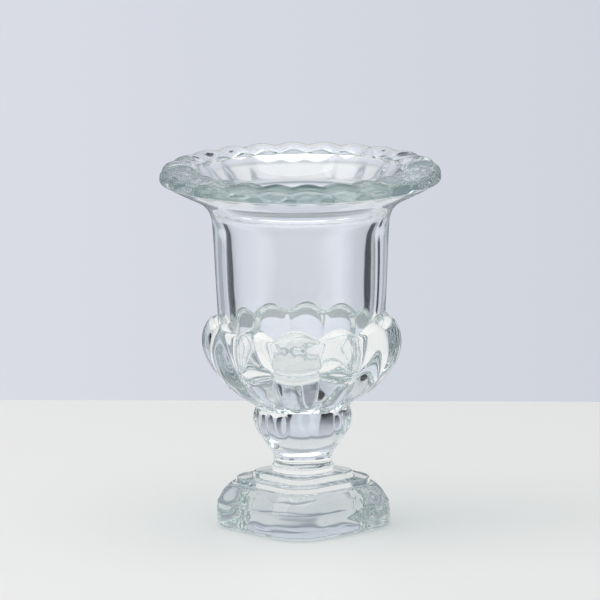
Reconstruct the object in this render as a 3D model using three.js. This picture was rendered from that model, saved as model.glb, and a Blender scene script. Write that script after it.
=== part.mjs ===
// Pressed clear-glass pedestal vase: fluted brim, plain tumbler, twelve-petal cup, knop, collar and plinth.
// Millimetres, +Z up, origin at the centre of the ground underside of the foot, plinth flats along X and Y.
import * as THREE from 'three';

// Foot: a stepped square plinth with well-rounded corners
const PLINTH_ACROSS_FLATS = 70.6;
const PLINTH_HEIGHT = 21.6;
const PLINTH_CORNER_SHARE = 0.5;
const LOW_STEP_ACROSS_FLATS = 54.4;
const LOW_STEP_HEIGHT = 3;
const HIGH_STEP_ACROSS_FLATS = 40.6;
const HIGH_STEP_HEIGHT = 3;
const STEP_EDGE_ROUND = 0.7;

// Collar: the wafer that joins stem to foot
const COLLAR_DIAMETER = 30.6;
const COLLAR_HEIGHT = 3.4;
const COLLAR_EDGE_ROUND = 0.8;

// Knop: a solid urn-shaped swelling, faintly fluted, with its neck below
const NECK_DIAMETER = 29;
const KNOP_DIAMETER = 48.4;
const KNOP_HEIGHT = 28.8;
const KNOP_TOP_DIAMETER = 45.6;
const KNOP_FLUTE_DEPTH = 1;

// Petal cup: gadrooned cup the tumbler sits in
const PETAL_COUNT = 12;
const PETAL_FIRST_CENTRE_DEG = 15;
const PETAL_SPREAD_DIAMETER = 98;
const PETAL_HEIGHT = 45.2;
const PETAL_NOTCH_DROP = 4.5;
const PETAL_VALLEY_DEPTH = 5;
const CUP_FLOOR_THICKNESS = 6.2;
const CUP_CLEARANCE = 0.3;
const CUP_LIP = 0.4;

// Bowl: the plain tumbler with the flower cavity
const BOWL_HEIGHT = 90;
const BOWL_TOP_DIAMETER = 88.8;
const BOWL_WAIST_DIAMETER = 82.2;
const BOWL_BASE_DIAMETER = 46;
const BOWL_WALL = 5.8;
const BOWL_FLOOR_THICKNESS = 14;

// Rim band: the heavy turned-out brim with its radial ribs
const RIM_DIAMETER = 138;
const RIM_HEIGHT = 23;
const RIM_CREST_DIAMETER = 101.6;
const RIM_LIP_THICKNESS = 6.4;
const RIB_COUNT = 24;
const RIB_FIRST_CENTRE_DEG = 7.5;
const RIB_HEIGHT = 1.6;

// Facets round the axis, kept to whole steps per petal and per rib
const PETAL_COLUMNS = PETAL_COUNT * 8;
const RIB_COLUMNS = RIB_COUNT * 6;
const PLINTH_COLUMNS = 64;
const ROUND_COLUMNS = 52;

// Levels of the joint faces, each one the top of the piece below
const FOOT_TOP = PLINTH_HEIGHT + LOW_STEP_HEIGHT + HIGH_STEP_HEIGHT;
const COLLAR_TOP = FOOT_TOP + COLLAR_HEIGHT;
const KNOP_TOP = COLLAR_TOP + KNOP_HEIGHT;
const CUP_SEAT = KNOP_TOP + CUP_FLOOR_THICKNESS;
const BOWL_TOP = CUP_SEAT + BOWL_HEIGHT;

// One clear soda-lime glass for every piece
function glass(name) {
  const material = new THREE.MeshStandardMaterial({ color: 0xe4f0ee, roughness: 0.04, metalness: 0 });
  material.name = name;
  material.transparent = true;
  material.opacity = 0.45;
  return material;
}

// A profile point: radius and height in the valley, with what the pattern adds at its peak
function at(radius, height, addRadius = 0, addHeight = 0) {
  return { radius, height, addRadius, addHeight };
}

// Blend two stations given as [radius, height], the valley first and the peak second
function between(valley, peak) {
  return at(valley[0], valley[1], peak[0] - valley[0], peak[1] - valley[1]);
}

// Turn a profile round the axis; pattern gives the share of the added height, plan the outline factor
function turned(name, profile, columns, pattern = () => 0, plan = () => 1) {
  const points = profile.map((point) => new THREE.Vector2(point.radius, point.height));
  const geometry = new THREE.LatheGeometry(points, columns);
  geometry.rotateX(Math.PI / 2);
  const position = geometry.attributes.position;
  for (let index = 0; index < position.count; index += 1) {
    const point = profile[index % profile.length];
    const column = Math.floor(index / profile.length) % columns;
    const angle = (column / columns) * Math.PI * 2;
    const share = pattern(angle);
    const radius = (point.radius + point.addRadius * share) * plan(angle);
    const height = point.height + point.addHeight * share;
    position.setXYZ(index, radius * Math.cos(angle), radius * Math.sin(angle), height);
  }
  geometry.computeVertexNormals();
  const mesh = new THREE.Mesh(geometry, glass('clear_pressed_glass'));
  mesh.name = name;
  return mesh;
}

// Rounded-square outline: distance to the edge for a plan one unit from centre to flat
function squarePlan(angle) {
  const quarter = Math.PI / 2;
  const fromFlat = Math.abs(angle - Math.round(angle / quarter) * quarter);
  const straight = 1 - PLINTH_CORNER_SHARE;
  if (Math.tan(fromFlat) <= straight) return 1 / Math.cos(fromFlat);
  const reach = straight * (Math.cos(fromFlat) + Math.sin(fromFlat));
  return reach + Math.sqrt(reach * reach - 2 * straight * straight + PLINTH_CORNER_SHARE ** 2);
}

// Convex lobes with creased valleys between them
function lobes(count, firstCentreDeg) {
  const first = (firstCentreDeg * Math.PI) / 180;
  return (angle) => Math.abs(Math.cos((count / 2) * (angle - first)));
}

// Foot, with upright sides, a shoulder that starts at a soft crease and two low steps under the collar
function makeFoot() {
  const side = PLINTH_ACROSS_FLATS / 2;
  const low = LOW_STEP_ACROSS_FLATS / 2;
  const high = HIGH_STEP_ACROSS_FLATS / 2;
  const lowTop = PLINTH_HEIGHT + LOW_STEP_HEIGHT;
  const tall = PLINTH_HEIGHT;
  const profile = [
    at(0, 0),
    at(side * 0.945, 0),
    at(side * 0.985, tall * 0.06),
    at(side, tall * 0.22),
    at(side * 0.995, tall * 0.57),
    at(side * 0.962, tall * 0.67),
    at(side * 0.915, tall * 0.83),
    at(side * 0.848, tall * 0.965),
    at(low, tall),
    at(low, lowTop - STEP_EDGE_ROUND),
    at(low - STEP_EDGE_ROUND, lowTop),
    at(high, lowTop),
    at(high, FOOT_TOP - STEP_EDGE_ROUND),
    at(high - STEP_EDGE_ROUND, FOOT_TOP),
    at(0, FOOT_TOP),
  ];
  return turned('foot', profile, PLINTH_COLUMNS, undefined, squarePlan);
}

// Collar, a round-edged wafer
function makeCollar() {
  const radius = COLLAR_DIAMETER / 2;
  const profile = [
    at(0, FOOT_TOP),
    at(radius - COLLAR_EDGE_ROUND, FOOT_TOP),
    at(radius, FOOT_TOP + COLLAR_EDGE_ROUND),
    at(radius, COLLAR_TOP - COLLAR_EDGE_ROUND),
    at(radius - COLLAR_EDGE_ROUND, COLLAR_TOP),
    at(0, COLLAR_TOP),
  ];
  return turned('stem_collar', profile, ROUND_COLUMNS);
}

// Knop, swelling out of the neck with flutes in step with the petals, turned in at the top where the cup sits
function makeKnop() {
  const neck = NECK_DIAMETER / 2;
  const swell = KNOP_DIAMETER / 2 - neck;
  const level = (share) => COLLAR_TOP + KNOP_HEIGHT * share;
  const fluted = (out, up, depth) => between(
    [neck + swell * out - KNOP_FLUTE_DEPTH * depth, level(up)],
    [neck + swell * out, level(up)],
  );
  const profile = [
    at(0, COLLAR_TOP),
    at(neck, COLLAR_TOP),
    at(neck, level(0.09)),
    at(neck + swell * 0.06, level(0.205)),
    at(neck + swell * 0.24, level(0.305)),
    at(neck + swell * 0.5, level(0.41)),
    fluted(0.74, 0.535, 0.25),
    fluted(0.92, 0.655, 0.65),
    fluted(1, 0.77, 1),
    fluted(0.98, 0.89, 0.9),
    at(KNOP_TOP_DIAMETER / 2, KNOP_TOP),
    at(0, KNOP_TOP),
  ];
  return turned('knop', profile, PETAL_COLUMNS, lobes(PETAL_COUNT, PETAL_FIRST_CENTRE_DEG));
}

// Outer line of the tumbler, shared by the bowl and by the seat cut for it in the petal cup
function bowlOutline() {
  const waist = BOWL_WAIST_DIAMETER / 2;
  const base = BOWL_BASE_DIAMETER / 2;
  const spread = waist - base;
  return [
    [base, CUP_SEAT],
    [base + spread * 0.42, CUP_SEAT + PETAL_HEIGHT * 0.07],
    [base + spread * 0.7, CUP_SEAT + PETAL_HEIGHT * 0.16],
    [base + spread * 0.9, CUP_SEAT + PETAL_HEIGHT * 0.3],
    [base + spread * 0.975, CUP_SEAT + PETAL_HEIGHT * 0.48],
    [waist, KNOP_TOP + PETAL_HEIGHT],
  ];
}

// Petal cup: lobes that rise from the knop, swell and arch over against the tumbler
function makePetalCup() {
  const foot = KNOP_TOP_DIAMETER / 2;
  const reach = PETAL_SPREAD_DIAMETER / 2 - foot;
  const level = (share) => KNOP_TOP + PETAL_HEIGHT * share;
  const seat = bowlOutline().map(([radius, height]) => [radius + CUP_CLEARANCE, height]);
  const lip = seat[seat.length - 1][0];
  const notch = KNOP_TOP + PETAL_HEIGHT - PETAL_NOTCH_DROP;
  const station = (out, up, depth, sink) => between(
    [foot + reach * out - PETAL_VALLEY_DEPTH * depth, level(up) - PETAL_NOTCH_DROP * sink],
    [foot + reach * out, level(up)],
  );
  const outside = [
    at(0, KNOP_TOP),
    at(foot, KNOP_TOP),
    station(0.11, 0.05, 0.25, 0),
    station(0.27, 0.11, 0.42, 0),
    station(0.45, 0.18, 0.6, 0),
    station(0.61, 0.265, 0.72, 0),
    station(0.76, 0.365, 0.82, 0),
    station(0.885, 0.475, 0.9, 0),
    station(0.965, 0.585, 1, 0.08),
    station(1, 0.7, 1, 0.25),
    station(0.985, 0.81, 0.92, 0.5),
    station(0.93, 0.9, 0.7, 0.72),
    station(0.84, 0.963, 0.36, 0.88),
    between([lip + CUP_LIP, notch], [lip + CUP_LIP, level(1)]),
    between([lip, notch], [lip, level(1)]),
  ];
  const inside = seat.slice(0, -1).reverse().map(([radius, height]) => at(radius, height));
  const profile = [...outside, ...inside, at(0, CUP_SEAT)];
  return turned('petal_cup', profile, PETAL_COLUMNS, lobes(PETAL_COUNT, PETAL_FIRST_CENTRE_DEG));
}

// Bowl: tumbler wall outside, cavity with a rounded floor inside
function makeBowl() {
  const top = BOWL_TOP_DIAMETER / 2;
  const waist = BOWL_WAIST_DIAMETER / 2;
  const floor = CUP_SEAT + BOWL_FLOOR_THICKNESS;
  const inner = waist - BOWL_WALL;
  const mouth = top - BOWL_WALL;
  const petalTop = KNOP_TOP + PETAL_HEIGHT;
  const upper = BOWL_TOP - petalTop;
  const profile = [
    at(0, CUP_SEAT),
    ...bowlOutline().map(([radius, height]) => at(radius, height)),
    at(waist + (top - waist) * 0.48, petalTop + upper * 0.69),
    at(waist + (top - waist) * 0.64, petalTop + upper * 0.86),
    at(top, BOWL_TOP),
    at(mouth, BOWL_TOP),
    at(inner + (mouth - inner) * 0.6, petalTop + upper * 0.84),
    at(inner + (mouth - inner) * 0.3, petalTop + upper * 0.53),
    at(inner - 0.2, petalTop),
    at(inner * 0.975, floor + (petalTop - floor) * 0.62),
    at(inner * 0.946, floor + (petalTop - floor) * 0.36),
    at(inner * 0.878, floor + (petalTop - floor) * 0.18),
    at(inner * 0.754, floor + (petalTop - floor) * 0.064),
    at(inner * 0.552, floor + (petalTop - floor) * 0.016),
    at(0, floor),
  ];
  return turned('bowl', profile, ROUND_COLUMNS);
}

// Rim band: flare out of the bowl, ribbed over the top, down the nose to a crisp lower edge
function makeRimBand() {
  const root = BOWL_TOP_DIAMETER / 2;
  const mouth = root - BOWL_WALL;
  const nose = RIM_DIAMETER / 2;
  const crest = RIM_CREST_DIAMETER / 2;
  const flare = nose - root;
  const land = nose - crest;
  const top = BOWL_TOP + RIM_HEIGHT;
  const edge = top - RIM_LIP_THICKNESS;
  const drop = edge - BOWL_TOP;
  const profile = [
    at(mouth, BOWL_TOP),
    at(root, BOWL_TOP),
    at(root + flare * 0.09, BOWL_TOP + drop * 0.22),
    at(root + flare * 0.25, BOWL_TOP + drop * 0.43),
    at(root + flare * 0.49, BOWL_TOP + drop * 0.61),
    at(root + flare * 0.73, BOWL_TOP + drop * 0.79),
    at(root + flare * 0.91, BOWL_TOP + drop * 0.94),
    at(nose, edge),
    at(nose - land * 0.02, edge + RIM_LIP_THICKNESS * 0.36, RIB_HEIGHT * 0.4, 0),
    at(nose - land * 0.06, edge + RIM_LIP_THICKNESS * 0.6, RIB_HEIGHT * 0.65, RIB_HEIGHT * 0.25),
    at(nose - land * 0.15, edge + RIM_LIP_THICKNESS * 0.8, RIB_HEIGHT * 0.65, RIB_HEIGHT * 0.55),
    at(nose - land * 0.29, top - RIM_LIP_THICKNESS * 0.06, RIB_HEIGHT * 0.35, RIB_HEIGHT * 0.8),
    at(nose - land * 0.52, top, 0, RIB_HEIGHT),
    at(nose - land * 0.75, top - RIM_LIP_THICKNESS * 0.04, 0, RIB_HEIGHT),
    at(nose - land * 0.91, top - RIM_LIP_THICKNESS * 0.14, -RIB_HEIGHT * 0.15, RIB_HEIGHT * 0.8),
    at(crest, top - RIM_LIP_THICKNESS * 0.34, -RIB_HEIGHT * 0.2, RIB_HEIGHT * 0.4),
    at(mouth + (crest - mouth) * 0.69, BOWL_TOP + RIM_HEIGHT * 0.735),
    at(mouth + (crest - mouth) * 0.36, BOWL_TOP + RIM_HEIGHT * 0.55),
    at(mouth + (crest - mouth) * 0.13, BOWL_TOP + RIM_HEIGHT * 0.34),
    at(mouth, BOWL_TOP),
  ];
  return turned('rim_band', profile, RIB_COLUMNS, lobes(RIB_COUNT, RIB_FIRST_CENTRE_DEG));
}

const vase = new THREE.Group();
vase.name = 'glass_pedestal_vase';
vase.add(makeFoot(), makeCollar(), makeKnop(), makePetalCup(), makeBowl(), makeRimBand());

export default vase;
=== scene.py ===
"""Clear pressed-glass pedestal vase on a pale table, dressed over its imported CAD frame."""

import math

import bpy
import numpy as np
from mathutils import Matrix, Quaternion, Vector


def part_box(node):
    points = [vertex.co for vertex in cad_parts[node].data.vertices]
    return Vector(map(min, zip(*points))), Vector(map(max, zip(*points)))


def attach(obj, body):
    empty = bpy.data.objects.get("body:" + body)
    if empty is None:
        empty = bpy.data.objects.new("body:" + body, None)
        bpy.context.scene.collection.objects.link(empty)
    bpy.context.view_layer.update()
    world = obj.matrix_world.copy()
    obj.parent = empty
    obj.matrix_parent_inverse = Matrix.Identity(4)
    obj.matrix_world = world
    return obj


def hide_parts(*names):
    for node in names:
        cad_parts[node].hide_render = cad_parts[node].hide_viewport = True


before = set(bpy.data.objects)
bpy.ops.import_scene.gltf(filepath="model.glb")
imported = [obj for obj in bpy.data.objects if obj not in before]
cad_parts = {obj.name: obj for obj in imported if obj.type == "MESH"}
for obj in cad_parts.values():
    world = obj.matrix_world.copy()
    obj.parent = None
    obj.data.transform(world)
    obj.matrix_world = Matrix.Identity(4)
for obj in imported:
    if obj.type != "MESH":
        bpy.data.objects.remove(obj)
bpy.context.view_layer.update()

MM = 0.001


def rise_of(degrees):
    """The height of a direction that points this far above the horizon."""
    return math.sin(math.radians(degrees))


# Levels of the fused joints, read from the CAD pieces, in millimetres
FOOT_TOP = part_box("foot")[1].z / MM
COLLAR_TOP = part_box("stem_collar")[1].z / MM
KNOP_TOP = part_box("knop")[1].z / MM
CUP_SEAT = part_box("bowl")[0].z / MM
PETAL_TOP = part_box("petal_cup")[1].z / MM
BOWL_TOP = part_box("bowl")[1].z / MM

# Fused joints: two pieces stop this far short of their shared face, each
JOINT_HALF_GAP = 0.01

# Foot, neck and knop; a corner of the foot has this share of the half width as its radius
CORNER_SHARE = 0.5
FOOT_STEP = 3.0
NECK_RADIUS = 14.5
KNOP_TOP_RADIUS = 22.8
KNOP_FLUTE = 1.0
KNOP_VALLEY_ROUND = 0.2

# Petals, and how far their arched edge is felt in the tumbler below and above it
PETALS = 12
PETAL_FIRST_CENTRE = math.radians(15)
PETAL_RADIUS = 49.0
PETAL_DEPTH = 5.0
PETAL_NOTCH_DROP = 4.5
PETAL_VALLEY_ROUND = 0.10
PETAL_LIP = 0.05
ARCH_BELOW = 14.0
ARCH_ABOVE = 8.0
ARCH_ROWS = 12

# Ribs of the brim
RIBS = 24
RIB_FIRST_CENTRE = math.radians(7.5)
RIB_VALLEY_ROUND = 0.28

# Columns of faces round each piece
FOOT_COLUMNS = 256
COLLAR_COLUMNS = 192
KNOP_COLUMNS = 240
CUP_COLUMNS = 360
BOWL_COLUMNS = 288
BRIM_COLUMNS = 400
SHARP_FROM = math.radians(50)

# What a metre of the glass takes off red, green and blue, as exponents
GLASS_TAKES_PER_METRE = (3.1, 2.55, 2.6)
GLASS_INDEX = 1.52
MOULD_SKIN = 0.05

# Counts of what light met on its way, each set between two whole numbers
ANY = 0.5
ONE_WALL = 2.5
MANY_MIRRORS = 3.5
# Light that has turned this often inside the glass is let out straight on
TRAPPED_AFTER = 6.5
# Fused faces between the hollow and the outside of one petal
PETAL_FUSED_FACES = 2.0
COUNT_TOLERANCE = 0.5

# Photograph's viewpoint
VIEW_AZIMUTH = math.radians(49)
VIEW_ELEVATION = math.radians(10.8)
VIEW_DISTANCE = 6.0
VIEW_ROLL = math.radians(-0.55)
VIEW_FAR = 50
FRAME_WIDTH = 0.2940
SENSOR_WIDTH = 36
AIM_HEIGHT = 0.1125
AIM_LEFT = 0.0007

# Table top
TABLE_BACK = 0.3126
TABLE_FRONT = 0.42
TABLE_SIDE = 0.3
TABLE_TURN = math.radians(-3.8)
TABLE_DROP = 0.0003

# Studio: middle of the pale panel behind the vase, and the dark gaps beside it in degrees, in each quarter
PANEL_MIDDLE = math.radians(139)
PANEL_GAPS = ((-41.0, -33.0), (-21.0, -13.0), (17.5, 34.0))
GAP_EDGE = 0.7
# The panel is lit unevenly: degrees from its middle, and how far towards dark it falls there
PANEL_SHADE = 0.2
PANEL_TONES = ((-7.5, 0.17), (-4.0, 0.0), (-1.5, 0.18), (2.5, 0.2), (4.5, 0.02), (8.0, 0.0), (12.0, 0.05))
# Its tones by height, in degrees above the horizon
PANEL_TIERS = (
    (-90, "#e8e9eb"), (-16, "#e4e9f4"), (4, "#e3e8f4"), (12.5, "#d3d8e4"), (14, "#99a1aa"), (16, "#a3abb4"),
    (18, "#dfe2e5"), (32, "#e4e7ea"), (36, "#aab1ba"), (43, "#bcc2c9"), (50, "#e6e9ee"), (90, "#f0f2f4"),
)
# Heights over which the gaps begin and end, and over which they end for light thrown up by solid glass
GAP_BEGINS = (rise_of(-18), rise_of(-15.5))
GAP_ENDS = (rise_of(-8), rise_of(14))
GAP_ENDS_TALL = (rise_of(28), rise_of(33))
# Mirrored in the wall, gaps less than this from the panel's middle are paler by this much
GAP_CLOSE = math.radians(34)
GAP_PALER = -0.5
# Cosine of the angle beyond which a direction lies beside the panel
BESIDE_PANEL = 0.643
LAMP_AIM_HEIGHT = 0.09
# Spans of height, or of the cosine from the panel's middle, over which the room changes
OVERHEAD = (0.6, 0.8)
TABLE_LEVEL = (-0.12, -0.04)
IN_FRONT = (-0.6, -0.2)
NEAR_HORIZON = (0.0, 0.3)
WALL_FADE = (-0.026, 0.026)

# Tones of wall, panel, room and table
# Wall tones, lighter on the left and darker on the right as painted shade
WALL_LEFT = "#dadce6"
WALL_RIGHT = "#cfd4dd"
PANEL_THROUGH_HOLLOW = "#e4e9f4"
GAP_TONE = "#16191c"
ROOM_SIDES = "#6d747c"
ROOM_OVERHEAD = "#f4f6f8"
ROOM_IN_FRONT = "#e9eaea"
LET_OUT_TONE = "#cad0d5"
FILL_TONE = "#f4f4f5"
FILL_STRENGTH = 0.63
TABLE_TONE = "#f1f1f0"
# The table seen through the glass: a painted glow, and through the far petals a painted shade
TABLE_PAINTED_GLOW = "#fdfdfc"
TABLE_PAINTED_SHADE_THROUGH_PETALS = "#a9b1b4"
PASSING_TONE = "#e6ecec"


def linear(hex_colour):
    """An sRGB hex colour as linear red, green, blue and alpha."""
    channels = [int(hex_colour[i:i + 2], 16) / 255 for i in (1, 3, 5)]
    return [c / 12.92 if c <= 0.04045 else ((c + 0.055) / 1.055) ** 2.4 for c in channels] + [1.0]


# Nodes

def node(tree, kind, inputs=None, **settings):
    """Adds one node with its settings, and fills its sockets with values or links."""
    made = tree.nodes.new(kind)
    for key, value in settings.items():
        setattr(made, key, value)
    for key, value in (inputs or {}).items():
        if isinstance(value, bpy.types.NodeSocket):
            tree.links.new(value, made.inputs[key])
        else:
            made.inputs[key].default_value = value
    return made


def maths(tree, operation, *values, clamp=False):
    """One step of arithmetic on numbers or sockets."""
    made = node(tree, "ShaderNodeMath", dict(enumerate(values)), operation=operation, use_clamp=clamp)
    return made.outputs[0]


def ranged(tree, value, span, first=0.0, last=1.0):
    """A value that goes from first to last over a span, and is held at its ends."""
    made = node(tree, "ShaderNodeMapRange", {0: value, 1: span[0], 2: span[1], 3: first, 4: last})
    return made.outputs[0]


def fading(tree, value, span):
    """A value that goes from one to nought over a span."""
    return ranged(tree, value, span, 1.0, 0.0)


def mixed_colour(tree, share, first, second):
    """Two colours mixed by a share."""
    return node(tree, "ShaderNodeMix", {0: share, 6: first, 7: second}, data_type="RGBA").outputs[2]


def mixed_number(tree, share, first, second):
    """Two numbers mixed by a share."""
    return node(tree, "ShaderNodeMix", {0: share, 2: first, 3: second}, data_type="FLOAT").outputs[0]


def mixed_shader(tree, share, first, second):
    """Two shaders mixed by a share."""
    return node(tree, "ShaderNodeMixShader", {0: share, 1: first, 2: second}).outputs[0]


def glow(tree, colour, strength=1.0):
    """Light of one colour from the world."""
    return node(tree, "ShaderNodeBackground", {0: colour, 1: strength}).outputs[0]


def ramp(tree, value, stops):
    """Colours along a value, from places and colours in rising order."""
    made = node(tree, "ShaderNodeValToRGB", {0: value})
    elements = made.color_ramp.elements
    while len(elements) < len(stops):
        elements.new(0.5)
    for element, (place, colour) in zip(elements, stops):
        element.position = place
        element.color = colour
    return made.outputs[0]


def stored(tree, name, kind="FLOAT"):
    """A value that the mesh carries at its points or faces."""
    return node(tree, "GeometryNodeInputNamedAttribute", {"Name": name}, data_type=kind).outputs["Attribute"]


def scaled(tree, vector, scale):
    """A vector made longer or shorter."""
    return node(tree, "ShaderNodeVectorMath", {0: vector, "Scale": scale}, operation="SCALE").outputs[0]


def vectors(tree, operation, *values):
    """One step of arithmetic on vectors."""
    return node(tree, "ShaderNodeVectorMath", dict(enumerate(values)), operation=operation).outputs[0]


# Profiles

def at(radius, height, out=0.0, up=0.0, square=0.0):
    """A profile station: its valley radius and height, what a lobe adds there, and how square its plan is."""
    return np.array([radius, height, out, up, square], float)


def lobe(valley, peak):
    """A station that runs from one radius and height in the valley to another on the lobe."""
    return at(valley[0], valley[1], peak[0] - valley[0], peak[1] - valley[1])


def flowing(stations, rows):
    """A natural cubic spline through stations, spaced evenly along its length."""
    points = np.array(stations)
    steps = np.linalg.norm(np.diff(points[:, :2], axis=0), axis=1)
    knots = np.concatenate([[0], np.cumsum(steps)])
    count = len(points)
    gaps = np.diff(knots)
    system = np.eye(count)
    target = np.zeros_like(points)
    for i in range(1, count - 1):
        system[i, i - 1:i + 2] = gaps[i - 1], 2 * (gaps[i - 1] + gaps[i]), gaps[i]
        target[i] = 6 * ((points[i + 1] - points[i]) / gaps[i] - (points[i] - points[i - 1]) / gaps[i - 1])
    bend = np.linalg.solve(system, target)
    line = []
    for along in np.linspace(0, knots[-1], rows + 1):
        i = min(max(int(np.searchsorted(knots, along, "right")) - 1, 0), count - 2)
        h, a, b = gaps[i], knots[i + 1] - along, along - knots[i]
        line.append(
            bend[i] * a ** 3 / (6 * h) + bend[i + 1] * b ** 3 / (6 * h)
            + (points[i] / h - bend[i] * h / 6) * a + (points[i + 1] / h - bend[i + 1] * h / 6) * b
        )
    return np.array(line)


def softened(corners, rows=5):
    """Straight runs between corners, each inner corner rounded with the radius given beside it."""
    line = [corners[0][0]]
    for (before, _), (corner, radius), (after, _) in zip(corners, corners[1:], corners[2:]):
        back = (before - corner) / np.linalg.norm((before - corner)[:2])
        ahead = (after - corner) / np.linalg.norm((after - corner)[:2])
        half = 0.5 * math.acos(np.clip(np.dot(back[:2], ahead[:2]), -1, 1))
        reach = radius / math.tan(half)
        start = corner + back * reach
        end = corner + ahead * reach
        for share in np.linspace(0, 1, rows + 1):
            line.append(start * (1 - share) ** 2 + 2 * corner * share * (1 - share) + end * share ** 2)
    line.append(corners[-1][0])
    return np.array(line)


def split_at(line, height):
    """A profile line cut in two at a height that it passes once."""
    above = line[:, 1] >= height
    first = int(np.argmax(above != above[0]))
    low, high = line[first - 1], line[first]
    cut = low + (high - low) * (height - low[1]) / (high[1] - low[1])
    cut[1] = height
    return np.vstack([line[:first], cut]), np.vstack([cut, line[first:]])


def straight(start, end, rows):
    """A straight profile line."""
    return np.array([start + (end - start) * share for share in np.linspace(0, 1, rows + 1)])


def lifted(line, height=0.0, radius=0.0):
    """The same line moved by a little, to leave the gap at a fused joint."""
    moved = line.copy()
    moved[:, 1] += height
    moved[:, 0] += np.where(moved[:, 0] > 0, radius, 0)
    return moved


def turned_mesh(name, runs, columns):
    """Turns runs of (line, is fused joint) round the axis into one closed mesh that keeps its lobe sizes."""
    stations, fused = [], []
    for line, is_joint in runs:
        start = 1 if stations else 0
        if stations:
            fused.append(is_joint)
        stations.extend(line[start:])
        fused.extend([is_joint] * (len(line) - 1 - start))
    closed = np.allclose(stations[0], stations[-1], atol=1e-9)
    if closed:
        stations.pop()
    angles = np.arange(columns) * (2 * math.pi / columns)
    rows, points, values = [], [], []
    for station in stations:
        on_axis = abs(station[0]) < 1e-9
        rows.append(range(len(points), len(points) + (1 if on_axis else columns)))
        for angle in angles[:1] if on_axis else angles:
            x = station[0] * math.cos(angle)
            y = station[0] * math.sin(angle)
            points.append((x * MM, y * MM, station[1] * MM))
            values.append(station[2:])
    faces, face_fused = [], []
    pairs = list(zip(rows, rows[1:])) + ([(rows[-1], rows[0])] if closed else [])
    for (low, high), is_joint in zip(pairs, fused):
        for i in range(columns):
            j = (i + 1) % columns
            if len(low) == 1:
                faces.append((low[0], high[j], high[i]))
            elif len(high) == 1:
                faces.append((low[i], low[j], high[0]))
            else:
                faces.append((low[i], low[j], high[j], high[i]))
            face_fused.append(is_joint)
    mesh = bpy.data.meshes.new(name)
    mesh.from_pydata(points, [], faces)
    for index, (key, scale) in enumerate((("lobe_out", MM), ("lobe_up", MM), ("square", 1.0))):
        kept = mesh.attributes.new(key, "FLOAT", "POINT")
        kept.data.foreach_set("value", np.array([v[index] * scale for v in values], np.float32))
    mesh.attributes.new("fused_joint", "BOOLEAN", "FACE").data.foreach_set("value", face_fused)
    return mesh


# Geometry node trees

PIECE_INPUTS = [
    ("Wave length", "NodeSocketFloat"), ("Wave height", "NodeSocketFloat"),
    ("Glass", "NodeSocketMaterial"), ("Joint", "NodeSocketMaterial"),
]


def new_tree(name, inputs):
    """An empty geometry tree with its own inputs and those that every piece has."""
    tree = bpy.data.node_groups.new(name, "GeometryNodeTree")
    tree.interface.new_socket("Geometry", in_out="INPUT", socket_type="NodeSocketGeometry")
    for label, kind in inputs + PIECE_INPUTS:
        tree.interface.new_socket(label, in_out="INPUT", socket_type=kind)
    tree.interface.new_socket("Geometry", in_out="OUTPUT", socket_type="NodeSocketGeometry")
    return tree


def waved(tree, geometry, source):
    """The slow waves that pressing and fire-polishing leave in free faces; fused joints stay flat."""
    free = maths(tree, "SUBTRACT", 1.0, stored(tree, "fused_joint", "BOOLEAN"))
    scale = maths(tree, "DIVIDE", 1.0, source.outputs["Wave length"])
    noise = node(tree, "ShaderNodeTexNoise", {"Scale": scale, "Detail": 1.0, "Roughness": 0.4},
                 noise_dimensions="3D")
    level = maths(tree, "SUBTRACT", noise.outputs[0], 0.5)
    height = maths(tree, "MULTIPLY", level, source.outputs["Wave height"])
    normal = node(tree, "GeometryNodeInputNormal").outputs[0]
    push = scaled(tree, normal, maths(tree, "MULTIPLY", height, free))
    return node(tree, "GeometryNodeSetPosition", {"Geometry": geometry, "Offset": push}).outputs[0]


def finish_tree(tree, geometry, source):
    """Ends a tree: waved faces in one realized mesh, glass outside and fused joint where two pieces meet."""
    whole = node(tree, "GeometryNodeRealizeInstances", {"Geometry": waved(tree, geometry, source)})
    clear = node(tree, "GeometryNodeSetMaterial",
                 {"Geometry": whole.outputs[0], "Material": source.outputs["Glass"]})
    met = node(tree, "GeometryNodeSetMaterial",
               {"Geometry": clear.outputs[0], "Selection": stored(tree, "fused_joint", "BOOLEAN"),
                "Material": source.outputs["Joint"]})
    node(tree, "NodeGroupOutput", {"Geometry": met.outputs[0]})
    return tree


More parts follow.
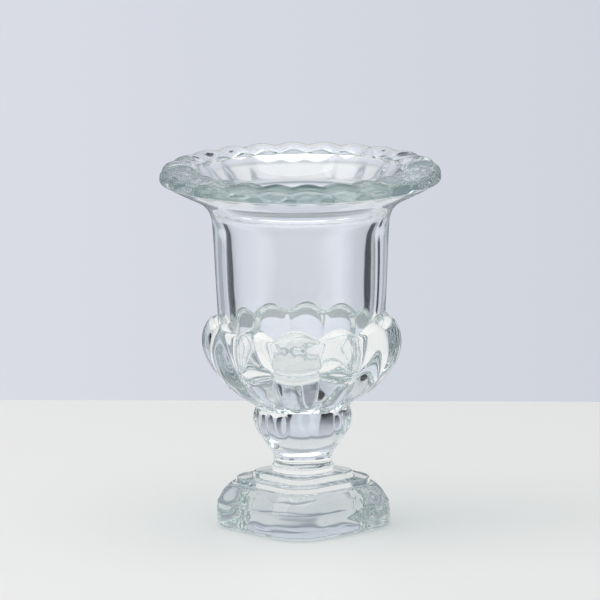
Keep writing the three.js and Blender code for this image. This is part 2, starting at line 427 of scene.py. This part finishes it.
def lobe_tree():
    """Raises convex lobes with softly creased valleys out of a turned mesh."""
    tree = new_tree("petal_and_rib_lobes", [
        ("Lobes", "NodeSocketInt"), ("First centre", "NodeSocketFloat"), ("Valley round", "NodeSocketFloat"),
    ])
    source = node(tree, "NodeGroupInput")
    position = node(tree, "GeometryNodeInputPosition").outputs[0]
    place = node(tree, "ShaderNodeSeparateXYZ", {0: position}).outputs
    angle = maths(tree, "ARCTAN2", place["Y"], place["X"])
    turn = maths(tree, "SUBTRACT", angle, source.outputs["First centre"])
    half = maths(tree, "MULTIPLY", source.outputs["Lobes"], 0.5)
    wave = maths(tree, "COSINE", maths(tree, "MULTIPLY", turn, half))
    # The wave's size, rounded where it is nought, and brought to run from 0 in the valley to 1 on the lobe
    soft = source.outputs["Valley round"]
    soft_squared = maths(tree, "MULTIPLY", soft, soft)
    raised = maths(tree, "POWER", maths(tree, "MULTIPLY_ADD", wave, wave, soft_squared), 0.5)
    full = maths(tree, "POWER", maths(tree, "ADD", soft_squared, 1.0), 0.5)
    from_valley = maths(tree, "SUBTRACT", raised, soft)
    share = maths(tree, "DIVIDE", from_valley, maths(tree, "SUBTRACT", full, soft))
    flat = node(tree, "ShaderNodeCombineXYZ", {0: place["X"], 1: place["Y"]}).outputs[0]
    out = maths(tree, "MULTIPLY", stored(tree, "lobe_out"), share)
    up = maths(tree, "MULTIPLY", stored(tree, "lobe_up"), share)
    outward = scaled(tree, vectors(tree, "NORMALIZE", flat), out)
    upward = node(tree, "ShaderNodeCombineXYZ", {2: up}).outputs[0]
    offset = vectors(tree, "ADD", outward, upward)
    moved = node(tree, "GeometryNodeSetPosition",
                 {"Geometry": source.outputs["Geometry"], "Offset": offset})
    return finish_tree(tree, moved.outputs[0], source)


def square_tree():
    """Widens a turned mesh to a rounded-square plan."""
    tree = new_tree("rounded_square_plan", [("Corner share", "NodeSocketFloat")])
    source = node(tree, "NodeGroupInput")
    corner = source.outputs["Corner share"]
    position = node(tree, "GeometryNodeInputPosition").outputs[0]
    place = node(tree, "ShaderNodeSeparateXYZ", {0: position}).outputs
    # Angle from the middle of the nearest flat
    turn = maths(tree, "DIVIDE", maths(tree, "ARCTAN2", place["Y"], place["X"]), math.pi / 2)
    size = maths(tree, "ABSOLUTE", maths(tree, "SUBTRACT", turn, maths(tree, "ROUND", turn)))
    from_flat = maths(tree, "MULTIPLY", size, math.pi / 2)
    cosine = maths(tree, "COSINE", from_flat)
    sine = maths(tree, "SINE", from_flat)
    # How far out the plan lies on the flat, and on the corner's arc
    on_flat = maths(tree, "DIVIDE", 1.0, cosine)
    side = maths(tree, "SUBTRACT", 1.0, corner)
    reach = maths(tree, "MULTIPLY", side, maths(tree, "ADD", cosine, sine))
    reach_squared = maths(tree, "MULTIPLY", reach, reach)
    centre_squared = maths(tree, "MULTIPLY", maths(tree, "MULTIPLY", side, side), 2.0)
    short = maths(tree, "SUBTRACT", reach_squared, centre_squared)
    root = maths(tree, "SQRT", maths(tree, "MULTIPLY_ADD", corner, corner, short))
    on_corner = maths(tree, "ADD", reach, root)
    past_flat = maths(tree, "GREATER_THAN", maths(tree, "DIVIDE", sine, cosine), side)
    more = maths(tree, "SUBTRACT", mixed_number(tree, past_flat, on_flat, on_corner), 1.0)
    widen = maths(tree, "MULTIPLY_ADD", stored(tree, "square"), more, 1.0)
    factor = node(tree, "ShaderNodeCombineXYZ", {0: widen, 1: widen, 2: 1.0}).outputs[0]
    placed = vectors(tree, "MULTIPLY", position, factor)
    moved = node(tree, "GeometryNodeSetPosition",
                 {"Geometry": source.outputs["Geometry"], "Position": placed})
    return finish_tree(tree, moved.outputs[0], source)


def worked(mesh, tree, **sizes):
    """Runs a mesh through a tree with its inputs set, and returns the plain mesh that comes out."""
    blank = bpy.data.objects.new(mesh.name, mesh)
    bpy.context.scene.collection.objects.link(blank)
    modifier = blank.modifiers.new("shape", "NODES")
    modifier.node_group = tree
    for item in tree.interface.items_tree:
        label = item.name.replace(" ", "_").lower()
        if item.in_out == "INPUT" and label in sizes:
            modifier[item.identifier] = sizes[label]
    bpy.context.view_layer.update()
    shaped = bpy.data.meshes.new_from_object(blank.evaluated_get(bpy.context.evaluated_depsgraph_get()))
    blank.modifiers.remove(modifier)
    bpy.data.objects.remove(blank)
    return shaped


def place_piece(name, mesh, cad_node):
    """One finished glass piece in the row frame, standing for its CAD node."""
    mesh.name = name
    mesh.shade_smooth()
    mesh.set_sharp_from_angle(angle=SHARP_FROM)
    for key in ("lobe_out", "lobe_up", "square", "fused_joint"):
        if key in mesh.attributes:
            mesh.attributes.remove(mesh.attributes[key])
    piece = bpy.data.objects.new(name, mesh)
    bpy.context.scene.collection.objects.link(piece)
    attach(piece, "root")
    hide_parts(cad_node)


# Materials

def blank_material(name):
    """A material with an empty node tree."""
    material = bpy.data.materials.new(name)
    material.use_nodes = True
    material.node_tree.nodes.clear()
    return material


def clear_pressed_glass(name, roughness):
    """Soda-lime glass, pressed and fire-polished, with a faint green that deepens with the way through it."""
    material = blank_material(name)
    tree = material.node_tree
    path = node(tree, "ShaderNodeLightPath").outputs
    inside = node(tree, "ShaderNodeNewGeometry").outputs["Backfacing"]
    way = maths(tree, "MULTIPLY", path["Ray Length"], inside)
    kept = [maths(tree, "POWER", math.exp(-taken), way) for taken in GLASS_TAKES_PER_METRE]
    tint = node(tree, "ShaderNodeCombineColor", dict(enumerate(kept))).outputs[0]
    glass = node(tree, "ShaderNodeBsdfGlass", {"Color": tint, "Roughness": roughness, "IOR": GLASS_INDEX})
    passing = node(tree, "ShaderNodeBsdfTransparent", {"Color": linear(PASSING_TONE)})
    scattered = maths(tree, "MAXIMUM", path["Is Shadow Ray"], path["Is Diffuse Ray"])
    trapped = maths(tree, "GREATER_THAN", path["Ray Depth"], TRAPPED_AFTER)
    unbent = maths(tree, "MAXIMUM", scattered, trapped)
    seen = mixed_shader(tree, unbent, glass.outputs[0], passing.outputs[0])
    node(tree, "ShaderNodeOutputMaterial", {"Surface": seen})
    return material


def fused_glass_joint():
    """Glass fused to glass: no air between the pieces, so light goes straight on."""
    material = blank_material("fused_glass_joint")
    tree = material.node_tree
    passing = node(tree, "ShaderNodeBsdfTransparent", {"Color": linear("#ffffff")})
    node(tree, "ShaderNodeOutputMaterial", {"Surface": passing.outputs[0]})
    return material


# Plain faces are fire-polished clear; the ribbed brim keeps a trace of the mould's skin
GLASS = clear_pressed_glass("clear_fire_polished_soda_lime_glass", 0.0)
RIBBED = clear_pressed_glass("ribbed_mould_skinned_soda_lime_glass", MOULD_SKIN)
JOINT = fused_glass_joint()
LOBES = lobe_tree()
SQUARE = square_tree()


# Profile lines shared by two pieces

def bowl_outside():
    """The tumbler's outside from its base to the lower edge of the brim."""
    return flowing([
        at(23.0, CUP_SEAT), at(30.6, 69.4), at(35.7, 73.7), at(39.3, 80.4), at(40.6, 89.0),
        at(41.1, PETAL_TOP), at(42.0, 124.0), at(42.7, 140.0), at(43.2, 149.0), at(44.4, BOWL_TOP),
        at(46.5, 159.7), at(50.6, 163.2), at(56.4, 166.2), at(62.4, 169.2), at(66.8, 171.6),
    ], rows=240)


def bowl_inside():
    """The cavity from the brim's crest down to the middle of its floor."""
    return flowing([
        at(50.4, 176.2), at(47.0, 172.9), at(43.0, 168.7), at(40.2, 163.8), at(38.4, BOWL_TOP),
        at(37.3, 147.0), at(36.4, 132.0), at(35.7, 116.0), at(35.0, 104.0), at(34.4, 95.5),
        at(33.4, 89.0), at(31.0, 84.5), at(26.6, 81.6), at(19.5, 80.4), at(10.0, 80.05), at(0, 80.0),
    ], rows=180)


def petal_line(line):
    """The tumbler's outside below the petals' arched edge, ending on that edge, and the rest above it."""
    notch = PETAL_TOP - PETAL_NOTCH_DROP
    below, rest = split_at(line, notch)
    _, above = split_at(rest, PETAL_TOP)
    span = above[0] - below[-1]
    edge = lobe(below[-1][:2], (below[-1] + span)[:2])
    under = below.copy()
    for row in under:
        share = max(0.0, 1 - (notch - row[1]) / ARCH_BELOW) ** 2
        row[2:4] = edge[2:4] * share
    over = [edge]
    for share in np.linspace(0, 1, ARCH_ROWS + 1)[1:]:
        height = notch + (PETAL_TOP + ARCH_ABOVE - notch) * share
        spot = split_at(line, height)[1][0]
        lift = PETAL_NOTCH_DROP * (1 - share)
        spot[2:4] = span[0] / PETAL_NOTCH_DROP * lift, lift
        over.append(spot)
    tail = split_at(line, PETAL_TOP + ARCH_ABOVE)[1]
    return under, np.vstack([over, tail[1:]])


# The six pieces, from the table up

def make_foot():
    """Rounded-square plinth with a soft shoulder and two low steps."""
    sole = straight(at(0, 0), at(33.0, 0, square=1), rows=10)
    side = flowing([
        at(33.0, 0, square=1), at(34.6, 0.9, square=1), at(35.2, 3.2, square=1), at(35.3, 7.0, square=1),
        at(35.2, 11.0, square=1), at(35.0, 12.4, square=1),
    ], rows=26)
    shoulder = flowing([
        at(35.0, 12.4, square=1), at(34.0, 14.4, square=1), at(32.3, 17.8, square=1),
        at(29.9, 20.8, square=1),
    ], rows=22)
    low, high = FOOT_TOP - FOOT_STEP, FOOT_TOP
    steps = softened([
        (shoulder[-1], 0), (at(28.8, 21.6, square=1), 1.0), (at(27.3, 21.7, square=1), 0.5),
        (at(27.0, low, square=1), 0.9), (at(20.6, low + 0.1, square=1), 0.5),
        (at(20.2, high, square=0.95), 0.9), (at(NECK_RADIUS, high), 0),
    ])
    seat = straight(at(NECK_RADIUS, high), at(0, high), rows=6)
    runs = [
        (sole, False), (side, False), (shoulder, False), (steps, False),
        (lifted(seat, -JOINT_HALF_GAP), True),
    ]
    mesh = turned_mesh("glass_foot", runs, FOOT_COLUMNS)
    shaped = worked(mesh, SQUARE, corner_share=CORNER_SHARE, wave_length=0.018, wave_height=0.0009,
                    glass=GLASS, joint=JOINT)
    place_piece("glass_foot", shaped, "foot")


def make_collar():
    """Round-edged wafer between neck and foot."""
    below = straight(at(0, FOOT_TOP), at(NECK_RADIUS, FOOT_TOP), rows=6)
    edge = softened([
        (at(NECK_RADIUS, FOOT_TOP), 0), (at(15.3, FOOT_TOP), 0.7), (at(15.3, COLLAR_TOP), 1.0),
        (at(NECK_RADIUS, COLLAR_TOP), 0),
    ], rows=7)
    above = straight(at(NECK_RADIUS, COLLAR_TOP), at(0, COLLAR_TOP), rows=6)
    runs = [(lifted(below, JOINT_HALF_GAP), True), (edge, False), (lifted(above, -JOINT_HALF_GAP), True)]
    mesh = turned_mesh("glass_stem_collar", runs, COLLAR_COLUMNS)
    shaped = worked(mesh, LOBES, lobes=PETALS, first_centre=0.0, valley_round=PETAL_VALLEY_ROUND,
                    wave_length=0.016, wave_height=0.0003, glass=GLASS, joint=JOINT)
    place_piece("glass_stem_collar", shaped, "stem_collar")


def make_knop():
    """Solid urn-shaped knop that swells out of the neck, faintly fluted in step with the petals."""
    def fluted(radius, height, share):
        return lobe((radius - KNOP_FLUTE * share, height), (radius, height))

    below = straight(at(0, COLLAR_TOP), at(NECK_RADIUS, COLLAR_TOP), rows=6)
    side = flowing([
        at(NECK_RADIUS, COLLAR_TOP), at(14.3, 33.4), at(15.0, 36.9), at(16.9, 39.8), at(19.4, 42.8),
        fluted(21.7, 46.4, 0.25), fluted(23.4, 49.8, 0.65), fluted(24.2, 53.2, 1.0), fluted(24.0, 56.6, 0.9),
        at(KNOP_TOP_RADIUS, KNOP_TOP),
    ], rows=60)
    above = straight(at(KNOP_TOP_RADIUS, KNOP_TOP), at(0, KNOP_TOP), rows=8)
    runs = [(lifted(below, JOINT_HALF_GAP), True), (side, False), (lifted(above, -JOINT_HALF_GAP), True)]
    mesh = turned_mesh("glass_knop", runs, KNOP_COLUMNS)
    shaped = worked(mesh, LOBES, lobes=PETALS, first_centre=PETAL_FIRST_CENTRE,
                    valley_round=KNOP_VALLEY_ROUND, wave_length=0.013, wave_height=0.0008,
                    glass=GLASS, joint=JOINT)
    place_piece("glass_knop", shaped, "knop")


def make_petal_cup():
    """Cup of arched petals, fused to the tumbler that stands in it."""
    foot = KNOP_TOP_RADIUS
    reach = PETAL_RADIUS - foot
    tall = PETAL_TOP - KNOP_TOP

    def station(out, rise, depth, sink):
        radius = foot + reach * out
        height = KNOP_TOP + tall * rise
        return lobe((radius - PETAL_DEPTH * depth, height - PETAL_NOTCH_DROP * sink), (radius, height))

    below = straight(at(0, KNOP_TOP), at(foot, KNOP_TOP), rows=8)
    under, _ = petal_line(bowl_outside())
    lip = under[-1].copy()
    lip[0] += PETAL_LIP
    outside = flowing([
        at(foot, KNOP_TOP), station(0.11, 0.05, 0.25, 0), station(0.27, 0.11, 0.42, 0),
        station(0.45, 0.18, 0.6, 0), station(0.61, 0.265, 0.72, 0), station(0.76, 0.365, 0.82, 0),
        station(0.885, 0.475, 0.9, 0), station(0.965, 0.585, 1.0, 0.08), station(1.0, 0.7, 1.0, 0.25),
        station(0.985, 0.81, 0.92, 0.5), station(0.93, 0.9, 0.7, 0.72), station(0.84, 0.963, 0.36, 0.88), lip,
    ], rows=96)
    seat_side = lifted(under, radius=JOINT_HALF_GAP)[::-1]
    seat_floor = straight(at(under[0][0], CUP_SEAT), at(0, CUP_SEAT), rows=8)
    runs = [
        (lifted(below, JOINT_HALF_GAP), True), (outside, False), (seat_side, True),
        (lifted(seat_floor, -JOINT_HALF_GAP), True),
    ]
    mesh = turned_mesh("glass_petal_cup", runs, CUP_COLUMNS)
    shaped = worked(mesh, LOBES, lobes=PETALS, first_centre=PETAL_FIRST_CENTRE,
                    valley_round=PETAL_VALLEY_ROUND, wave_length=0.034, wave_height=0.0010,
                    glass=GLASS, joint=JOINT)
    place_piece("glass_petal_cup", shaped, "petal_cup")


def make_bowl():
    """Tumbler with its rounded cavity, fused into the petal cup below and the brim above."""
    under, over = petal_line(bowl_outside())
    wall, _ = split_at(over, BOWL_TOP - JOINT_HALF_GAP)
    _, hollow = split_at(bowl_inside(), BOWL_TOP - JOINT_HALF_GAP)
    base = straight(at(0, CUP_SEAT), at(under[0][0], CUP_SEAT), rows=8)
    land = straight(wall[-1], hollow[0], rows=4)
    runs = [
        (lifted(base, JOINT_HALF_GAP), True), (lifted(under, radius=-JOINT_HALF_GAP), True), (wall, False),
        (land, True), (hollow, False),
    ]
    mesh = turned_mesh("glass_bowl", runs, BOWL_COLUMNS)
    shaped = worked(mesh, LOBES, lobes=PETALS, first_centre=PETAL_FIRST_CENTRE,
                    valley_round=PETAL_VALLEY_ROUND, wave_length=0.03, wave_height=0.0002,
                    glass=GLASS, joint=JOINT)
    place_piece("glass_bowl", shaped, "bowl")


def make_rim_band():
    """Heavy turned-out brim, ribbed over its top and nose down to a crisp lower edge."""
    _, flare = split_at(bowl_outside(), BOWL_TOP + JOINT_HALF_GAP)
    mouth, _ = split_at(bowl_inside(), BOWL_TOP + JOINT_HALF_GAP)
    edge = softened([(flare[-1], 0), (at(68.9, 172.6), 0.8), (at(68.8, 173.8, 0.1), 0)], rows=6)
    top = flowing([
        edge[-1], at(68.2, 174.9, 0.7, 0.1), at(67.4, 176.4, 1.1, 0.3), at(65.9, 177.8, 1.1, 0.7),
        at(63.4, 178.7, 0.6, 1.1), at(59.6, 179.1, 0.0, 1.4), at(55.4, 178.8, 0.0, 1.4),
        at(52.4, 178.0, -0.2, 1.2), at(51.0, 177.2, -0.3, 0.5), mouth[0],
    ], rows=80)
    land = straight(mouth[-1], flare[0], rows=4)
    runs = [(land, True), (flare, False), (edge, False), (top, False), (mouth, False)]
    mesh = turned_mesh("glass_rim_band", runs, BRIM_COLUMNS)
    shaped = worked(mesh, LOBES, lobes=RIBS, first_centre=RIB_FIRST_CENTRE, valley_round=RIB_VALLEY_ROUND,
                    wave_length=0.02, wave_height=0.00004, glass=RIBBED, joint=JOINT)
    place_piece("glass_rim_band", shaped, "rim_band")


# Table, light and camera

def make_table():
    """A pale satin table whose back edge lies behind the vase, square to the camera, with a painted glow
    where it is seen through the glass.
    """
    behind = VIEW_AZIMUTH + math.pi / 2 + TABLE_TURN
    back = Vector((math.cos(behind), math.sin(behind), 0))
    side = Vector((back.y, -back.x, 0))
    corners = [back * TABLE_BACK - side * TABLE_SIDE, back * TABLE_BACK + side * TABLE_SIDE,
               back * -TABLE_FRONT + side * TABLE_SIDE, back * -TABLE_FRONT - side * TABLE_SIDE]
    mesh = bpy.data.meshes.new("table")
    mesh.from_pydata([corner - Vector((0, 0, TABLE_DROP)) for corner in corners], [], [(3, 2, 1, 0)])
    table = bpy.data.objects.new("table", mesh)
    bpy.context.scene.collection.objects.link(table)
    material = bpy.data.materials.new("satin_white_table")
    material.use_nodes = True
    tree = material.node_tree
    surface = tree.nodes["Principled BSDF"]
    surface.inputs["Base Color"].default_value = linear(TABLE_TONE)
    surface.inputs["Roughness"].default_value = 0.5
    path = node(tree, "ShaderNodeLightPath").outputs
    # Painted glow: seen through the glass past few mirrors, the table gives off its own even light in place
    # of its lit surface
    few_mirrors = maths(tree, "LESS_THAN", path["Glossy Depth"], MANY_MIRRORS)
    through = maths(tree, "MULTIPLY", path["Is Transmission Ray"], few_mirrors)
    # Painted shade: seen through the hollow and the far petals, the table's glow is a fixed grey tone
    # standing for the vase's own shade
    hollow = maths(tree, "GREATER_THAN", path["Transmission Depth"], ONE_WALL)
    petal = maths(tree, "COMPARE", path["Transparent Depth"], PETAL_FUSED_FACES, COUNT_TOLERANCE)
    shaded = maths(tree, "MULTIPLY", hollow, petal)
    tone = mixed_colour(tree, shaded, linear(TABLE_PAINTED_GLOW), linear(TABLE_PAINTED_SHADE_THROUGH_PETALS))
    lit = node(tree, "ShaderNodeEmission", {0: tone, 1: 1.0})
    seen = mixed_shader(tree, through, surface.outputs[0], lit.outputs[0])
    tree.links.new(seen, tree.nodes["Material Output"].inputs["Surface"])
    mesh.materials.append(material)


def panel_darkness(tree, from_panel):
    """How dark the panel and its gaps are at an angle from its middle, alike in each quarter of the room."""
    quarters = maths(tree, "DIVIDE", from_panel, math.pi / 2)
    off = maths(tree, "SUBTRACT", quarters, maths(tree, "ROUND", quarters))
    tones = list(PANEL_TONES)
    for first, last in PANEL_GAPS:
        tones += [(first - GAP_EDGE, PANEL_SHADE), (first + GAP_EDGE, 1), (last - GAP_EDGE, 1),
                  (last + GAP_EDGE, PANEL_SHADE)]
    stops = [(0.0, 0.0)] + [(angle / 90 + 0.5, dark) for angle, dark in tones]
    greys = [(place, (dark, dark, dark, 1)) for place, dark in sorted(stops)]
    return ramp(tree, maths(tree, "ADD", off, 0.5), greys)


def make_world():
    """Pale wall to the camera, panels with dark gaps to bent light, and a dim room to mirrored light."""
    world = bpy.data.worlds.new("studio")
    bpy.context.scene.world = world
    world.use_nodes = True
    tree = world.node_tree
    tree.nodes.clear()
    heading = node(tree, "ShaderNodeTexCoord").outputs["Generated"]
    way = node(tree, "ShaderNodeSeparateXYZ", {0: heading}).outputs
    rise = way["Z"]
    from_panel = maths(tree, "SUBTRACT", maths(tree, "ARCTAN2", way["Y"], way["X"]), PANEL_MIDDLE)
    facing = maths(tree, "COSINE", from_panel)

    # What the light met: mirrors inside the glass, more than one wall, fused joints
    path = node(tree, "ShaderNodeLightPath").outputs
    mirrors = maths(tree, "GREATER_THAN", path["Glossy Depth"], ANY)
    walls = maths(tree, "GREATER_THAN", path["Transmission Depth"], ONE_WALL)
    fused = maths(tree, "GREATER_THAN", path["Transparent Depth"], ANY)
    wandered = maths(tree, "MULTIPLY", mirrors, walls)

    # The solid glass under the hollow throws light up, where the gaps stand taller
    solid = maths(tree, "SUBTRACT", fused, walls, clamp=True)
    low = ranged(tree, rise, GAP_BEGINS)
    high = fading(tree, rise, GAP_ENDS)
    taller = fading(tree, rise, GAP_ENDS_TALL)
    span = maths(tree, "MULTIPLY", low, mixed_number(tree, solid, high, taller))
    # Mirrored in the wall, the gaps close to the panel show paler than the far one
    close_by = maths(tree, "GREATER_THAN", facing, math.cos(GAP_CLOSE))
    softer = maths(tree, "MULTIPLY_ADD", maths(tree, "MULTIPLY", mirrors, close_by), GAP_PALER, span)
    # Light that crossed the hollow and a fused joint was spread by the far petals, and shows no gap
    spread = maths(tree, "MULTIPLY", walls, fused)
    straight_on = maths(tree, "SUBTRACT", softer, maths(tree, "MAXIMUM", wandered, spread), clamp=True)
    dark = maths(tree, "MULTIPLY", straight_on, panel_darkness(tree, from_panel))

    # The panel in tiers, or in one even tone through the hollow
    tiers = ramp(tree, ranged(tree, rise, (-1.0, 1.0)),
                 [(0.5 + 0.5 * rise_of(angle), linear(colour)) for angle, colour in PANEL_TIERS])
    behind = mixed_colour(tree, walls, tiers, linear(PANEL_THROUGH_HOLLOW))
    bent = glow(tree, mixed_colour(tree, dark, behind, linear(GAP_TONE)))

    # The room: dim at the sides, pale overhead and where the table goes on in front
    overhead = ranged(tree, rise, OVERHEAD)
    room = mixed_colour(tree, overhead, linear(ROOM_SIDES), linear(ROOM_OVERHEAD))
    below = fading(tree, rise, TABLE_LEVEL)
    ahead = fading(tree, facing, IN_FRONT)
    around = mixed_colour(tree, maths(tree, "MULTIPLY", below, ahead), room, linear(ROOM_IN_FRONT))
    let_out = maths(tree, "GREATER_THAN", path["Ray Depth"], TRAPPED_AFTER)
    mirrored = glow(tree, mixed_colour(tree, let_out, around, linear(LET_OUT_TONE)))
    gloss = mixed_shader(tree, path["Is Glossy Ray"], glow(tree, linear(FILL_TONE), FILL_STRENGTH), mirrored)

    # Light that went astray near the horizon misses the panel
    level = fading(tree, rise, NEAR_HORIZON)
    aside = maths(tree, "MULTIPLY", mirrors, maths(tree, "LESS_THAN", facing, BESIDE_PANEL))
    stray = maths(tree, "MULTIPLY", maths(tree, "MAXIMUM", wandered, aside), level)
    direct = maths(tree, "SUBTRACT", path["Is Transmission Ray"], stray, clamp=True)
    shown = mixed_shader(tree, direct, gloss, bent)

    # The wall darkens a little from left to right: painted shade where less light falls on it
    right = (math.cos(VIEW_AZIMUTH), math.sin(VIEW_AZIMUTH), 0)
    across = node(tree, "ShaderNodeVectorMath", {0: heading, 1: right}, operation="DOT_PRODUCT")
    to_right = ranged(tree, across.outputs["Value"], WALL_FADE)
    wall = glow(tree, mixed_colour(tree, to_right, linear(WALL_LEFT), linear(WALL_RIGHT)))
    node(tree, "ShaderNodeOutputWorld", {0: mixed_shader(tree, path["Is Camera Ray"], shown, wall)})


def towards(azimuth, elevation):
    """The direction from the vase at an angle round it and above the table."""
    return Vector((math.sin(azimuth) * math.cos(elevation), -math.cos(azimuth) * math.cos(elevation),
                   math.sin(elevation)))


def make_lamp(name, azimuth, elevation, distance, width, height, watts):
    """An oval softbox at an angle round the vase, aimed at its middle."""
    light = bpy.data.lights.new(name, "AREA")
    light.shape = "ELLIPSE"
    light.size = width
    light.size_y = height
    light.energy = watts
    lamp = bpy.data.objects.new(name, light)
    bpy.context.scene.collection.objects.link(lamp)
    away = towards(VIEW_AZIMUTH + azimuth, elevation)
    lamp.location = away * distance + Vector((0, 0, LAMP_AIM_HEIGHT))
    lamp.rotation_mode = "QUATERNION"
    lamp.rotation_quaternion = away.to_track_quat("Z", "Y")
    lamp.visible_camera = False
    return lamp


def make_camera():
    """Long lens at the photograph's angle, framed on the vase."""
    data = bpy.data.cameras.new("camera")
    camera = bpy.data.objects.new("camera", data)
    bpy.context.scene.collection.objects.link(camera)
    back = towards(VIEW_AZIMUTH, VIEW_ELEVATION)
    right = Vector((math.cos(VIEW_AZIMUTH), math.sin(VIEW_AZIMUTH), 0))
    aim = Vector((0, 0, AIM_HEIGHT)) - right * AIM_LEFT
    camera.location = aim + back * VIEW_DISTANCE
    camera.rotation_mode = "QUATERNION"
    camera.rotation_quaternion = back.to_track_quat("Z", "Y") @ Quaternion((0, 0, 1), VIEW_ROLL)
    data.sensor_width = SENSOR_WIDTH
    data.lens = SENSOR_WIDTH * VIEW_DISTANCE / FRAME_WIDTH
    data.clip_end = VIEW_FAR
    bpy.context.scene.camera = camera


for make in (make_foot, make_collar, make_knop, make_petal_cup, make_bowl, make_rim_band):
    make()
make_table()
make_world()
left = make_lamp("left_softbox", azimuth=math.radians(-80), elevation=math.radians(42), distance=1.6,
                 width=1.3, height=1.9, watts=9.0)
left.visible_transmission = False
make_lamp("top_softbox", azimuth=math.radians(20), elevation=math.radians(80), distance=1.8,
          width=1.8, height=1.8, watts=12.0)
make_camera()

scene = bpy.context.scene
scene.view_settings.view_transform = "Standard"
scene.cycles.max_bounces = 48
scene.cycles.transmission_bounces = 32
scene.cycles.glossy_bounces = 32
scene.cycles.transparent_max_bounces = 64
scene.cycles.caustics_refractive = False
scene.cycles.caustics_reflective = False
